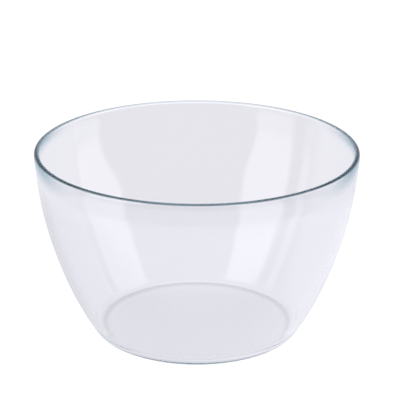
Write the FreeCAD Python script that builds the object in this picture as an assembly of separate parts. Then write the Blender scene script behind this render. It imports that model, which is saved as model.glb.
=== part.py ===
import FreeCAD, Part
import math
import os

# Crystallizing dish: one piece of clear pressed glass, a solid of revolution about Z.
# Origin: centre of the circle the dish stands on. +Z up, towards the open mouth. Millimetres.
# The half section is drawn in the XZ plane, with x as the radius.

# Overall size and rim
RIM_RADIUS = 102.0         # outside of the rim
HEIGHT = 120.0             # table to crown of the rim
RIM_THICKNESS = 3.4        # fully rounded, slightly fuller than the wall
LIP_RADIUS = RIM_THICKNESS / 2
LIP_Z = HEIGHT - LIP_RADIUS
RIM_INNER_RADIUS = RIM_RADIUS - RIM_THICKNESS
BEAD_HEIGHT = 16.0         # depth below LIP_Z over which the wall thickens to the rim

# Wall thickness, blended upwards from the low value to the middle one
LOW_WALL_THICKNESS = 3.0   # just above the heel
WALL_THICKNESS = 2.9       # middle of the wall
BLEND_START_Z = 8.0
BLEND_HEIGHT = 45.0

# Base and heel, the outside corner between base and wall
FOOT_INNER = 54.0          # inside radius of the flat standing ring
FOOT_OUTER = 61.6          # outside radius of the ring, where the heel starts
PUSH_UP = 0.6              # rise of the underside at the axis
HEEL_RADIUS = 6.0
HEEL_ANGLE = math.radians(53.0)

# Inside floor and the corner between it and the wall
FLOOR_THICKNESS = 2.5      # over the standing ring
FLOOR_RADIUS = 59.0        # flat part of the floor
INNER_CORNER_RADIUS = 7.0
INNER_CORNER_ANGLE = math.radians(50.0)

# Outside of the wall between heel and rim, from the bottom up:
# (radius, height above the table), both as shares of RIM_RADIUS
WALL_SHARES = [
    (0.6808, 0.0705), (0.7110, 0.1225), (0.7423, 0.1815), (0.7752, 0.2498),
    (0.8072, 0.3228), (0.8375, 0.3986), (0.8657, 0.4757), (0.8911, 0.5522),
    (0.9136, 0.6270), (0.9330, 0.7000), (0.9495, 0.7718), (0.9633, 0.8427),
    (0.9746, 0.9141), (0.9845, 0.9908), (0.9931, 1.0760),
]

# Inside of the wall, sampled at equal parameter steps of the outside curve
SAMPLE_STEPS = 26
CORNER_CLEARANCE = 3.5     # height above the inner corner kept free of samples
LIP_CLEARANCE = 1.2        # depth below LIP_Z kept free of samples


def point(radius, z):
    return FreeCAD.Vector(radius, 0, z)


def line(start, end):
    return Part.LineSegment(start, end).toShape()


def arc(start, middle, end):
    return Part.Arc(start, middle, end).toShape()


def corner_point(start, radius, angle):
    """Point on an arc that leaves start level and outwards, then turns upwards by angle."""
    return point(
        start.x + radius * math.sin(angle),
        start.z + radius * (1 - math.cos(angle)),
    )


def corner_arc(start, radius, angle):
    middle = corner_point(start, radius, angle / 2)
    return arc(start, middle, corner_point(start, radius, angle))


def wall_curve(points, start_angle):
    """Spline through points, leaving at start_angle above level and ending upright."""
    curve = Part.BSplineCurve()
    curve.interpolate(
        Points=points,
        InitialTangent=point(math.cos(start_angle), math.sin(start_angle)),
        FinalTangent=point(0, 1),
    )
    return curve


def smooth_step(share):
    share = max(0.0, min(1.0, share))
    return share * share * (3 - 2 * share)


def wall_thickness(z):
    blend = smooth_step((z - BLEND_START_Z) / BLEND_HEIGHT)
    bead = smooth_step((z - (LIP_Z - BEAD_HEIGHT)) / BEAD_HEIGHT)
    return (
        LOW_WALL_THICKNESS
        + (WALL_THICKNESS - LOW_WALL_THICKNESS) * blend
        + (RIM_THICKNESS - WALL_THICKNESS) * bead
    )


def outer_wall(heel_end):
    shares = [point(r * RIM_RADIUS, z * RIM_RADIUS) for r, z in WALL_SHARES]
    return wall_curve([heel_end] + shares + [point(RIM_RADIUS, LIP_Z)], HEEL_ANGLE)


def inner_wall(outer, corner_end):
    """Curve offset inwards from outer by the local wall thickness."""
    first, last = outer.FirstParameter, outer.LastParameter
    points = [corner_end]
    for i in range(SAMPLE_STEPS + 1):
        parameter = first + (last - first) * i / SAMPLE_STEPS
        outside = outer.value(parameter)
        along = outer.tangent(parameter)[0]
        thickness = wall_thickness(outside.z)
        inside = point(outside.x - along.z * thickness, outside.z + along.x * thickness)
        # samples too close to either end would kink the spline
        if corner_end.z + CORNER_CLEARANCE < inside.z < LIP_Z - LIP_CLEARANCE:
            points.append(inside)
    points.append(point(RIM_INNER_RADIUS, LIP_Z))
    return wall_curve(points, INNER_CORNER_ANGLE)


def underside_dome():
    """Shallow spherical push-up inside the standing ring."""
    radius = (FOOT_INNER ** 2 + PUSH_UP ** 2) / (2 * PUSH_UP)
    half_angle = math.asin(FOOT_INNER / radius) / 2
    middle = point(
        radius * math.sin(half_angle),
        PUSH_UP - radius * (1 - math.cos(half_angle)),
    )
    return arc(point(0, PUSH_UP), middle, point(FOOT_INNER, 0))


def half_section():
    heel_start = point(FOOT_OUTER, 0)
    floor_centre = point(0, FLOOR_THICKNESS)
    floor_edge = point(FLOOR_RADIUS, FLOOR_THICKNESS)
    outer = outer_wall(corner_point(heel_start, HEEL_RADIUS, HEEL_ANGLE))
    inner = inner_wall(
        outer, corner_point(floor_edge, INNER_CORNER_RADIUS, INNER_CORNER_ANGLE)
    )
    edges = [
        underside_dome(),
        line(point(FOOT_INNER, 0), heel_start),
        corner_arc(heel_start, HEEL_RADIUS, HEEL_ANGLE),
        outer.toShape(),
        arc(
            point(RIM_RADIUS, LIP_Z),
            point(RIM_RADIUS - LIP_RADIUS, HEIGHT),
            point(RIM_INNER_RADIUS, LIP_Z),
        ),
        inner.toShape(),
        corner_arc(floor_edge, INNER_CORNER_RADIUS, INNER_CORNER_ANGLE),
        line(floor_centre, floor_edge),
        line(point(0, PUSH_UP), floor_centre),
    ]
    return Part.Face(Part.Wire(Part.__sortEdges__(edges)))


def make_dish():
    dish = half_section().revolve(FreeCAD.Vector(0, 0, 0), FreeCAD.Vector(0, 0, 1), 360)
    # the section's winding can turn the solid inside out
    if dish.Volume < 0:
        dish.reverse()
    assert dish.isValid() and dish.isClosed(), "the dish is not a closed valid solid"
    return dish


os.makedirs("parts", exist_ok=True)
make_dish().exportStep("parts/dish.step")
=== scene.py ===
import math

import bpy
import numpy as np
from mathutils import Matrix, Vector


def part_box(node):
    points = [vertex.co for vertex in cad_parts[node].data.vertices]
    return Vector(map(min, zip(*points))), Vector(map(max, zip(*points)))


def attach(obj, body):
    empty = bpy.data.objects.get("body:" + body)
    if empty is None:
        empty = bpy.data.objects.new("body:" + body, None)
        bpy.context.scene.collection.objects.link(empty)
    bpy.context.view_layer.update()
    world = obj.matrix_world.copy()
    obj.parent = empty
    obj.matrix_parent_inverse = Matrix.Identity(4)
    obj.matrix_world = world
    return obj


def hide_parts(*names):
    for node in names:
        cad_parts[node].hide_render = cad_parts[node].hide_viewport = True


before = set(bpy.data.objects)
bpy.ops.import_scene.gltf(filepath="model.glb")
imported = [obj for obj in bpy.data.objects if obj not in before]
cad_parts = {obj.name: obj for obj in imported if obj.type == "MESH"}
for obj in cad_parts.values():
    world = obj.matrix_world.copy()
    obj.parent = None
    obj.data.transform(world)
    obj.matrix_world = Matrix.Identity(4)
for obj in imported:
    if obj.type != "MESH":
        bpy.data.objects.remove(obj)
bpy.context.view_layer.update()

# ---------------------------------------------------------------- section sizes (mm)
MM = 1000.0                     # mm in a metre
dish_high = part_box("dish")[1]
RIM_R = dish_high.x * MM
HEIGHT = dish_high.z * MM

RIM_T, WALL_T, LOW_T, FLOOR_T = 3.4, 2.9, 3.0, 2.5      # thicknesses
TAPER_Z, TAPER_H = 8.0, 45.0    # where the wall goes from LOW_T to WALL_T
BEAD_H = 16.0                   # height over which it thickens to RIM_T
LIP_R = RIM_T / 2
LIP_Z = HEIGHT - LIP_R          # centre of the half-round lip

HEEL_R, HEEL_A = 6.0, math.radians(53.0)        # outer arc from foot to wall
CORNER_R, CORNER_A = 7.0, math.radians(50.0)    # inner arc from floor to wall
FLOOR_R = 59.0
FOOT_OUT, FOOT_IN = 61.6, 54.0  # flat ring the dish stands on
PUSH_UP = 0.6                   # rise of the domed underside at its centre

# Outer wall from heel to rim: radius, height, as shares of WALL_UNIT
WALL_UNIT = 102.0
WALL_SHARES = [
    (0.6808, 0.0705), (0.7110, 0.1225), (0.7423, 0.1815), (0.7752, 0.2498),
    (0.8072, 0.3228), (0.8375, 0.3986), (0.8657, 0.4757), (0.8911, 0.5522),
    (0.9136, 0.6270), (0.9330, 0.7000), (0.9495, 0.7718), (0.9633, 0.8427),
    (0.9746, 0.9141), (0.9845, 0.9908), (0.9931, 1.0760),
]
# Stations along the flatter parts
UNDER_SHARES = [0.03, 0.1, 0.2, 0.3, 0.4, 0.5, 0.6, 0.7, 0.8, 0.88, 0.94, 0.98]    # of FOOT_IN
FOOT_RADII = [FOOT_IN, 55.5, 57.5, 59.5, 60.8]
FLOOR_SHARES = [1.0, 0.985, 0.96, 0.92, 0.86, 0.78, 0.68, 0.57, 0.46, 0.35, 0.24, 0.14, 0.04]

ARC_STEPS, WALL_STEPS, LIP_STEPS = 16, 76, 26
OFFSET_STEPS = 26               # samples of the outer wall that place the inner one
CORNER_GAP, LIP_GAP = 3.5, 1.2  # the samples keep this far from the corner and the lip
SEGMENTS = 384

# Long, shallow waves that leave the wall slightly out of true:
# depth in mm, waves round the dish, phase, twist per mm of height
MOULD_WAVES = [(0.016, 3, 0.9, 0.021), (0.006, 7, 2.1, -0.034), (0.002, 13, 4.0, 0.055)]
WAVE_FOOT_Z, WAVE_FOOT_H = 4.0, 20.0    # they grow in above the foot
WAVE_RIM_DROP, WAVE_RIM_H = 14.0, 12.0  # and die out from this far below the rim


# ---------------------------------------------------------------- section
def clamped_spline(points, start_dir, end_dir):
    """Cubic spline with chord-length parameters and unit end tangents.

    Returns its length and a function from parameters to (positions, unit tangents).
    """
    points = np.array(points, float)
    spans = np.linalg.norm(np.diff(points, axis=0), axis=1)
    knots = np.concatenate([[0.0], np.cumsum(spans)])
    slopes = np.diff(points, axis=0) / spans[:, None]
    count = len(points)
    system, target = np.zeros((count, count)), np.zeros((count, 2))
    system[0, :2] = 2 * spans[0], spans[0]
    target[0] = 6 * (slopes[0] - np.array(start_dir))
    system[-1, -2:] = spans[-1], 2 * spans[-1]
    target[-1] = 6 * (np.array(end_dir) - slopes[-1])
    for i in range(1, count - 1):
        system[i, i - 1:i + 2] = spans[i - 1], 2 * (spans[i - 1] + spans[i]), spans[i]
        target[i] = 6 * (slopes[i] - slopes[i - 1])
    bend = np.linalg.solve(system, target)      # second derivatives at the points

    def sample(along):
        along = np.clip(along, 0, knots[-1])
        k = np.clip(np.searchsorted(knots, along, side="right") - 1, 0, count - 2)
        span = spans[k][:, None]
        done, left = (along - knots[k])[:, None], (knots[k + 1] - along)[:, None]
        low = points[k] / span - bend[k] * span / 6
        high = points[k + 1] / span - bend[k + 1] * span / 6
        place = (bend[k] * left**3 + bend[k + 1] * done**3) / (6 * span) + low * left + high * done
        slope = (bend[k + 1] * done**2 - bend[k] * left**2) / (2 * span) - low + high
        return place, slope / np.linalg.norm(slope, axis=1)[:, None]

    return knots[-1], sample


def smooth(share):
    share = np.clip(share, 0.0, 1.0)
    return share * share * (3.0 - 2.0 * share)


def arc(centre, radius, start, end, steps):
    """Points on an arc, angles in radians from +r, without its last point."""
    angle = start + (end - start) * np.arange(steps) / steps
    return np.column_stack([centre[0] + radius * np.cos(angle), centre[1] + radius * np.sin(angle)])


def thickness(z):
    wall = LOW_T + (WALL_T - LOW_T) * smooth((z - TAPER_Z) / TAPER_H)
    return wall + (RIM_T - WALL_T) * smooth((z - (LIP_Z - BEAD_H)) / BEAD_H)


def outer_wall():
    """Spline from the end of the heel arc to the lip."""
    heel_end = (FOOT_OUT + HEEL_R * math.sin(HEEL_A), HEEL_R * (1 - math.cos(HEEL_A)))
    wall = [(r * WALL_UNIT, z * WALL_UNIT) for r, z in WALL_SHARES]
    return clamped_spline(
        [heel_end] + wall + [(RIM_R, LIP_Z)], (math.cos(HEEL_A), math.sin(HEEL_A)), (0.0, 1.0))


def inner_wall(outer_len, outer, corner_centre):
    """Spline from the corner arc to the lip, the wall's thickness inside the outer one."""
    start = (corner_centre[0] + CORNER_R * math.sin(CORNER_A),
             corner_centre[1] - CORNER_R * math.cos(CORNER_A))
    place, tangent = outer(outer_len * np.arange(OFFSET_STEPS + 1) / OFFSET_STEPS)
    inward = np.column_stack([-tangent[:, 1], tangent[:, 0]])
    inside = place + inward * thickness(place[:, 1])[:, None]
    z = inside[:, 1]
    inside = inside[(z > start[1] + CORNER_GAP) & (z < LIP_Z - LIP_GAP)]
    return clamped_spline(
        [start] + inside.tolist() + [(RIM_R - RIM_T, LIP_Z)],
        (math.cos(CORNER_A), math.sin(CORNER_A)), (0.0, 1.0))


def dish_section():
    """(r, z) from the middle of the underside, up the outside, over the lip to the floor."""
    down = -math.pi / 2
    corner_centre = (FLOOR_R, FLOOR_T + CORNER_R)
    outer_len, outer = outer_wall()
    inner_len, inner = inner_wall(outer_len, outer, corner_centre)
    steps = np.arange(WALL_STEPS) / WALL_STEPS

    dome_r = (FOOT_IN**2 + PUSH_UP**2) / (2 * PUSH_UP)
    under_r = FOOT_IN * np.array(UNDER_SHARES)
    floor_r = FLOOR_R * np.array(FLOOR_SHARES)
    return np.vstack([
        np.column_stack([under_r, PUSH_UP - dome_r + np.sqrt(dome_r**2 - under_r**2)]),
        [[r, 0.0] for r in FOOT_RADII],
        arc((FOOT_OUT, HEEL_R), HEEL_R, down, down + HEEL_A, ARC_STEPS),
        outer(outer_len * steps)[0],
        arc((RIM_R - LIP_R, LIP_Z), LIP_R, 0.0, math.pi, LIP_STEPS),
        inner(inner_len * (1 - steps))[0],
        arc(corner_centre, CORNER_R, down + CORNER_A, down, ARC_STEPS),
        np.column_stack([floor_r, np.full(len(floor_r), FLOOR_T)]),
    ])


# ---------------------------------------------------------------- meshes
def add_mesh(name, verts, faces):
    mesh = bpy.data.meshes.new(name)
    mesh.from_pydata(verts, [], faces)
    return mesh


def add_object(name, data):
    obj = bpy.data.objects.new(name, data)
    bpy.context.scene.collection.objects.link(obj)
    return obj


def lathe(name, section, first_pole, last_pole):
    """Closed solid of revolution; the poles are the heights on the axis at the section's ends."""
    angle = 2 * math.pi * np.arange(SEGMENTS) / SEGMENTS
    r, z = section[:, :1], section[:, 1:]
    share = smooth((z - WAVE_FOOT_Z) / WAVE_FOOT_H)
    share = share * (1 - smooth((z - (HEIGHT - WAVE_RIM_DROP)) / WAVE_RIM_H))
    r = r - share * sum(
        depth * np.sin(waves * angle + phase + z * twist)
        for depth, waves, phase, twist in MOULD_WAVES
    )
    rings = np.stack([r * np.cos(angle), r * np.sin(angle), np.broadcast_to(z, r.shape)], axis=-1)
    verts = np.vstack([rings.reshape(-1, 3), [[0, 0, first_pole], [0, 0, last_pole]]]) / MM

    turns = [(j, (j + 1) % SEGMENTS) for j in range(SEGMENTS)]
    last_ring = (len(section) - 1) * SEGMENTS
    faces = [
        (low + j, low + k, low + SEGMENTS + k, low + SEGMENTS + j)
        for low in range(0, last_ring, SEGMENTS) for j, k in turns
    ]
    first = last_ring + SEGMENTS
    for j, k in turns:
        faces.append((first, k, j))
        faces.append((first + 1, last_ring + j, last_ring + k))
    mesh = add_mesh(name, verts.tolist(), faces)
    mesh.validate()
    mesh.update()
    mesh.polygons.foreach_set("use_smooth", [True] * len(mesh.polygons))
    return add_object(name, mesh)


# ---------------------------------------------------------------- shader helpers
def new_node(tree, kind, **settings):
    node = tree.nodes.new("ShaderNode" + kind)
    for name, setting in settings.items():
        setattr(node, name, setting)
    return node


def feed(tree, socket, source):
    """Link source into socket, or set it there if it is a plain value."""
    if isinstance(source, bpy.types.NodeSocket):
        tree.links.new(source, socket)
    else:
        socket.default_value = source


def maths(tree, operation, *operands):
    node = new_node(tree, "Math", operation=operation)
    for i, operand in enumerate(operands):
        feed(tree, node.inputs[i], operand)
    return node.outputs[0]


def vector_maths(tree, operation, *operands):
    node = new_node(tree, "VectorMath", operation=operation)
    for i, operand in enumerate(operands):
        feed(tree, node.inputs[i], operand)
    return node.outputs["Value" if operation in ("DOT_PRODUCT", "LENGTH") else 0]


def scaled(tree, vector, factor):
    node = new_node(tree, "VectorMath", operation="SCALE")
    feed(tree, node.inputs[0], vector)
    feed(tree, node.inputs["Scale"], factor)
    return node.outputs[0]


def ramp(tree, source, over, to=(0.0, 1.0), interpolation="SMOOTHSTEP"):
    """Take the range over to the range to, held constant outside it."""
    node = new_node(tree, "MapRange", interpolation_type=interpolation)
    feed(tree, node.inputs["Value"], source)
    node.inputs["From Min"].default_value, node.inputs["From Max"].default_value = over
    node.inputs["To Min"].default_value, node.inputs["To Max"].default_value = to
    return node.outputs["Result"]


def mix_colours(tree, base, other, factor):
    node = new_node(tree, "Mix", data_type="RGBA")
    feed(tree, node.inputs[0], factor)
    feed(tree, node.inputs[6], base)
    feed(tree, node.inputs[7], other)
    return node.outputs[2]


def noise(tree, coordinates, scale, detail):
    node = new_node(tree, "TexNoise")
    node.inputs["Scale"].default_value = scale
    node.inputs["Detail"].default_value = detail
    feed(tree, node.inputs["Vector"], coordinates)
    return node.outputs["Fac"]


def light_path(tree, output):
    return new_node(tree, "LightPath").outputs[output]


# ---------------------------------------------------------------- glass
GLASS_IOR = 1.51
CLEAR = (0.995, 0.995, 1.0, 1)
EDGE_TINT = (0.06, 0.27, 0.34, 1)       # wall below the rim, where it turns away
CROWN_TINT = (0.88, 0.94, 0.96, 1)      # top of the lip
LIP_SHADE_DEEP = (0.012, 0.030, 0.038, 1)     # painted shade on the outward face of the lip, in two depths
LIP_SHADE_PALE = (0.045, 0.095, 0.115, 1)
BODY_COLOUR, BODY_DENSITY = (0.58, 0.75, 0.83, 1), 19.0     # absorption inside the glass
EDGE_POWER = 1.1                        # how fast the edge tint fades downwards


def glass_tint(tree, position):
    """Greener where the eye looks along the glass; painted shade makes it deepest on the outward
    face of the lip.
    """
    level = new_node(tree, "SeparateXYZ")
    feed(tree, level.inputs[0], position)
    turn = new_node(tree, "LayerWeight")
    turn.inputs["Blend"].default_value = 0.5
    depth = maths(tree, "SUBTRACT", HEIGHT / MM, level.outputs["Z"])

    normal = new_node(tree, "NewGeometry").outputs["Normal"]
    flat = vector_maths(tree, "MULTIPLY", position, (1, 1, 0))
    outward = vector_maths(tree, "NORMALIZE", flat)
    leans_out = vector_maths(tree, "DOT_PRODUCT", normal, outward)

    crown = ramp(tree, depth, over=(0.0005, 0.0014), to=(1.0, 0.0))
    outer_crown = maths(tree, "MULTIPLY", crown, ramp(tree, leans_out, over=(0.0, 0.3)))
    # painted shade: the outer half of the lip's top, for camera rays only
    painted_shade_mask = maths(tree, "MULTIPLY", outer_crown, light_path(tree, "Is Camera Ray"))

    # the tint reaches further down the outside of the wall than the inside
    reach = ramp(tree, leans_out, over=(-0.4, 0.4), to=(0.55, 1.0))
    fade = ramp(tree, maths(tree, "DIVIDE", depth, reach), over=(0.0005, 0.016), to=(1.0, 0.0))
    fade = maths(tree, "POWER", fade, EDGE_POWER)
    edge = maths(tree, "MULTIPLY", fade, ramp(tree, turn.outputs["Facing"], over=(0.36, 0.74)))

    # the depth of the lip's painted shade drifts slowly round the rim
    uneven = ramp(tree, noise(tree, position, scale=16.0, detail=2.0), over=(0.38, 0.64))

    tint = mix_colours(tree, CLEAR, EDGE_TINT, edge)
    tint = mix_colours(tree, tint, CROWN_TINT, crown)
    painted_lip_shade = mix_colours(tree, LIP_SHADE_DEEP, LIP_SHADE_PALE, uneven)
    return mix_colours(tree, tint, painted_lip_shade, painted_shade_mask)


def glass_roughness(tree, position):
    haze = ramp(tree, noise(tree, position, scale=14.0, detail=3.0),
                over=(0.3, 0.75), to=(0.004, 0.016), interpolation="LINEAR")
    # light caught between the faces of the wall gets out through small faults in the glass
    caught = ramp(tree, light_path(tree, "Glossy Depth"), over=(2.0, 8.0), to=(0.0, 0.26))
    return maths(tree, "ADD", haze, caught)


def glass_material():
    material = bpy.data.materials.new("clear_glass")
    material.use_nodes = True
    tree = material.node_tree
    surface = tree.nodes["Principled BSDF"]
    surface.inputs["Transmission Weight"].default_value = 1.0
    surface.inputs["IOR"].default_value = GLASS_IOR
    position = new_node(tree, "TexCoord").outputs["Object"]
    feed(tree, surface.inputs["Base Color"], glass_tint(tree, position))
    feed(tree, surface.inputs["Roughness"], glass_roughness(tree, position))
    body = new_node(tree, "VolumeAbsorption")
    body.inputs["Color"].default_value = BODY_COLOUR
    body.inputs["Density"].default_value = BODY_DENSITY
    feed(tree, tree.nodes["Material Output"].inputs["Volume"], body.outputs["Volume"])
    return material


glass = lathe("dish_glass", dish_section(), first_pole=PUSH_UP, last_pole=FLOOR_T)
glass.data.materials.append(glass_material())
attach(glass, "root")
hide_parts("dish")

# ---------------------------------------------------------------- camera
CAMERA_PLACE = (0.00202, -1.020, 0.4651)
CAMERA_DIP, CAMERA_ROLL = 0.356727, 0.0032      # radians below the horizon, and about its axis

camera_data = bpy.data.cameras.new("camera")
camera_data.sensor_width = 36.0
camera_data.lens = 154.44
camera_data.clip_start, camera_data.clip_end = 0.01, 50.0
camera = add_object("camera", camera_data)
camera.location = CAMERA_PLACE
camera.rotation_euler = (math.pi / 2 - CAMERA_DIP, 0.0, 0.0)
camera.rotation_euler.rotate_axis("Z", CAMERA_ROLL)
bpy.context.scene.camera = camera

# ---------------------------------------------------------------- studio
# The lights keep their place beside the camera: white paper under and behind the dish, a dim
# room behind the camera, and a tall soft light on either side of it.
ROOM = 0.12         # brightness behind the camera
SKY = 0.42          # share of the brightness left high up
GROUND = 1.35       # brightness far below the horizon
FILL = 0.97         # the studio's average
PAPER = (0.876, 0.858, 0.910)       # what the glass sees of the paper
PLAIN_WHITE = (1.05, 1.05, 1.05, 1) # what the camera sees of it
# Soft-edged lights, in degrees: heading from and to (0 straight behind the camera, +90 to its
# right), height from and to, brightness, softness across and up, lean
LIGHTS = [
    (64, 104, -12, 50, 1.6, 3.0, 6.0, 15.0),        # tall, right
    (-77, -38, -11, 54, 1.6, 3.0, 6.0, 9.0),        # tall, left
    (110, 120, -10, 52, 1.12, 3.0, 8.0, 0.0),       # narrow, right
    (-98, -88, -10, 50, 1.08, 3.0, 8.0, 0.0),       # narrow, left
    (-80, -36, -21, -15, 1.6, 2.0, 1.5, 0.0),       # low strip, left
]


def side_and_ahead(tree, vector):
    """How far vector points to the camera's right, and level ahead of it."""
    def camera_axis(axis):
        node = new_node(tree, "VectorTransform", vector_type="VECTOR",
                        convert_from="CAMERA", convert_to="WORLD")
        node.inputs[0].default_value = axis
        return node.outputs[0]

    # the camera's ahead and up share a heading once flattened, so their sum never vanishes
    both = vector_maths(tree, "ADD", camera_axis((0, 0, 1)), camera_axis((0, 1, 0)))
    ahead = vector_maths(tree, "NORMALIZE", vector_maths(tree, "MULTIPLY", both, (1, 1, 0)))
    right = vector_maths(tree, "CROSS_PRODUCT", ahead, (0, 0, 1))
    return (vector_maths(tree, "DOT_PRODUCT", vector, right),
            vector_maths(tree, "DOT_PRODUCT", vector, ahead))


def soft_light(tree, heading, height, left, right, low, high, power, soft, soft_up, lean):
    # towards its foot, the edge nearer the camera leans outward by lean degrees
    tip = ramp(tree, height, over=(-10.0, 9.0), to=(lean, 0.0))
    from_left = maths(tree, "SUBTRACT", heading, tip) if left > 0 else heading
    from_right = maths(tree, "ADD", heading, tip) if left < 0 else heading
    across = maths(
        tree, "MULTIPLY",
        ramp(tree, from_left, over=(left - soft, left + soft)),
        ramp(tree, from_right, over=(right - soft, right + soft), to=(1.0, 0.0)))
    upward = maths(
        tree, "MULTIPLY",
        ramp(tree, height, over=(low - soft_up, low + soft_up)),
        ramp(tree, height, over=(high - soft_up, high + soft_up), to=(1.0, 0.0)))
    return maths(tree, "MULTIPLY", maths(tree, "MULTIPLY", across, upward), power)


def studio(tree, direction):
    """How bright the studio is in a direction from the dish."""
    def degrees(angle):
        return maths(tree, "MULTIPLY", angle, 180 / math.pi)

    side, ahead = side_and_ahead(tree, direction)
    parts = new_node(tree, "SeparateXYZ")
    feed(tree, parts.inputs[0], direction)
    behind = maths(tree, "MULTIPLY", ahead, -1.0)
    heading = degrees(maths(tree, "ARCTAN2", side, behind))
    height = degrees(maths(tree, "ARCSINE", parts.outputs["Z"]))

    sky = ramp(tree, height, over=(3.0, 22.0), to=(1.0, SKY))
    room = ramp(tree, maths(tree, "ABSOLUTE", heading), over=(84.0, 112.0), to=(ROOM, 1.0))
    total = maths(tree, "MULTIPLY", room, sky)
    for light in LIGHTS:
        total = maths(tree, "MAXIMUM", total, soft_light(tree, heading, height, *light))
    ground = ramp(tree, height, over=(-30.0, -22.0), to=(GROUND, 0.0))
    return maths(tree, "MAXIMUM", total, ground)


def stage_colour(tree, light):
    """Paper colour at brightness light; plain white where the camera sees the stage itself."""
    # a ray reflected more than once inside the glass gets the studio's average
    many = ramp(tree, light_path(tree, "Glossy Depth"), over=(1.2, 1.8))
    once = maths(tree, "MULTIPLY", light, maths(tree, "SUBTRACT", 1.0, many))
    settled = maths(tree, "ADD", once, maths(tree, "MULTIPLY", many, FILL))
    colour = scaled(tree, PAPER, settled)
    return mix_colours(tree, colour, PLAIN_WHITE, light_path(tree, "Is Camera Ray"))


world = bpy.data.worlds.new("studio")
bpy.context.scene.world = world
world.use_nodes = True
world_tree = world.node_tree
background = world_tree.nodes["Background"]
sky_direction = new_node(world_tree, "TexCoord").outputs["Generated"]
feed(world_tree, background.inputs["Color"],
     stage_colour(world_tree, studio(world_tree, sky_direction)))
background.inputs["Strength"].default_value = 1.0

# ---------------------------------------------------------------- paper
PAPER_HALF, PAPER_Z = 8.0, -0.0004
TABLE_EDGE = (0.22, 0.30)               # radii over which the paper gives way to the studio
CONTACT_R = (FOOT_OUT - 0.8) / MM       # shaded ring under the foot
CONTACT_HALF, CONTACT_SHADE = 0.0048, 0.20


def paper_material():
    """Glowing white paper on a small table; past its edge the glass sees the studio."""
    material = bpy.data.materials.new("paper")
    material.use_nodes = True
    tree = material.node_tree
    tree.nodes.remove(tree.nodes["Principled BSDF"])
    geometry = new_node(tree, "NewGeometry")
    position = geometry.outputs["Position"]
    radius = vector_maths(tree, "LENGTH", position)
    table = ramp(tree, radius, over=TABLE_EDGE, to=(1.0, 0.0))
    around = studio(tree, scaled(tree, geometry.outputs["Incoming"], -1.0))

    # painted light: in the glass the paper is brighter towards the camera and to its right
    across, along = side_and_ahead(tree, position)
    sheen = maths(
        tree, "ADD",
        ramp(tree, along, over=(-0.16, -0.09), to=(0.60, 0.0)),
        ramp(tree, across, over=(-0.15, 0.15), to=(-0.12, 0.12)))
    mirrored = ramp(tree, light_path(tree, "Glossy Depth"), over=(0.2, 0.8))
    near = maths(tree, "ADD", 1.0, maths(tree, "MULTIPLY", mirrored, sheen))
    near = maths(tree, "MULTIPLY", table, near)
    far = maths(tree, "MULTIPLY", around, maths(tree, "SUBTRACT", 1.0, table))

    # where the dish stands on it, less light gets to the paper
    from_ring = maths(tree, "ABSOLUTE", maths(tree, "SUBTRACT", radius, CONTACT_R))
    shade = ramp(tree, from_ring, over=(0.0, CONTACT_HALF), to=(CONTACT_SHADE, 0.0))
    contact = maths(tree, "SUBTRACT", 1.0, shade)
    light = maths(tree, "MULTIPLY", maths(tree, "ADD", near, far), contact)

    glow = new_node(tree, "Emission")
    feed(tree, glow.inputs["Color"], stage_colour(tree, light))
    glow.inputs["Strength"].default_value = 1.0
    feed(tree, tree.nodes["Material Output"].inputs["Surface"], glow.outputs[0])
    return material


paper_corners = [
    (x * PAPER_HALF, y * PAPER_HALF, PAPER_Z) for x, y in ((-1, -1), (1, -1), (1, 1), (-1, 1))
]
paper = add_object("paper_floor", add_mesh("paper", paper_corners, [(0, 1, 2, 3)]))
paper.data.materials.append(paper_material())

# ---------------------------------------------------------------- render
scene = bpy.context.scene
scene.view_settings.view_transform = "Standard"
scene.view_settings.look = "None"
scene.view_settings.exposure = 0.0
scene.view_settings.gamma = 1.0
# light runs a long way inside the rim and the heel before it gets out again
BOUNCES = 48
scene.cycles.max_bounces = BOUNCES
scene.cycles.glossy_bounces = BOUNCES
scene.cycles.transmission_bounces = BOUNCES
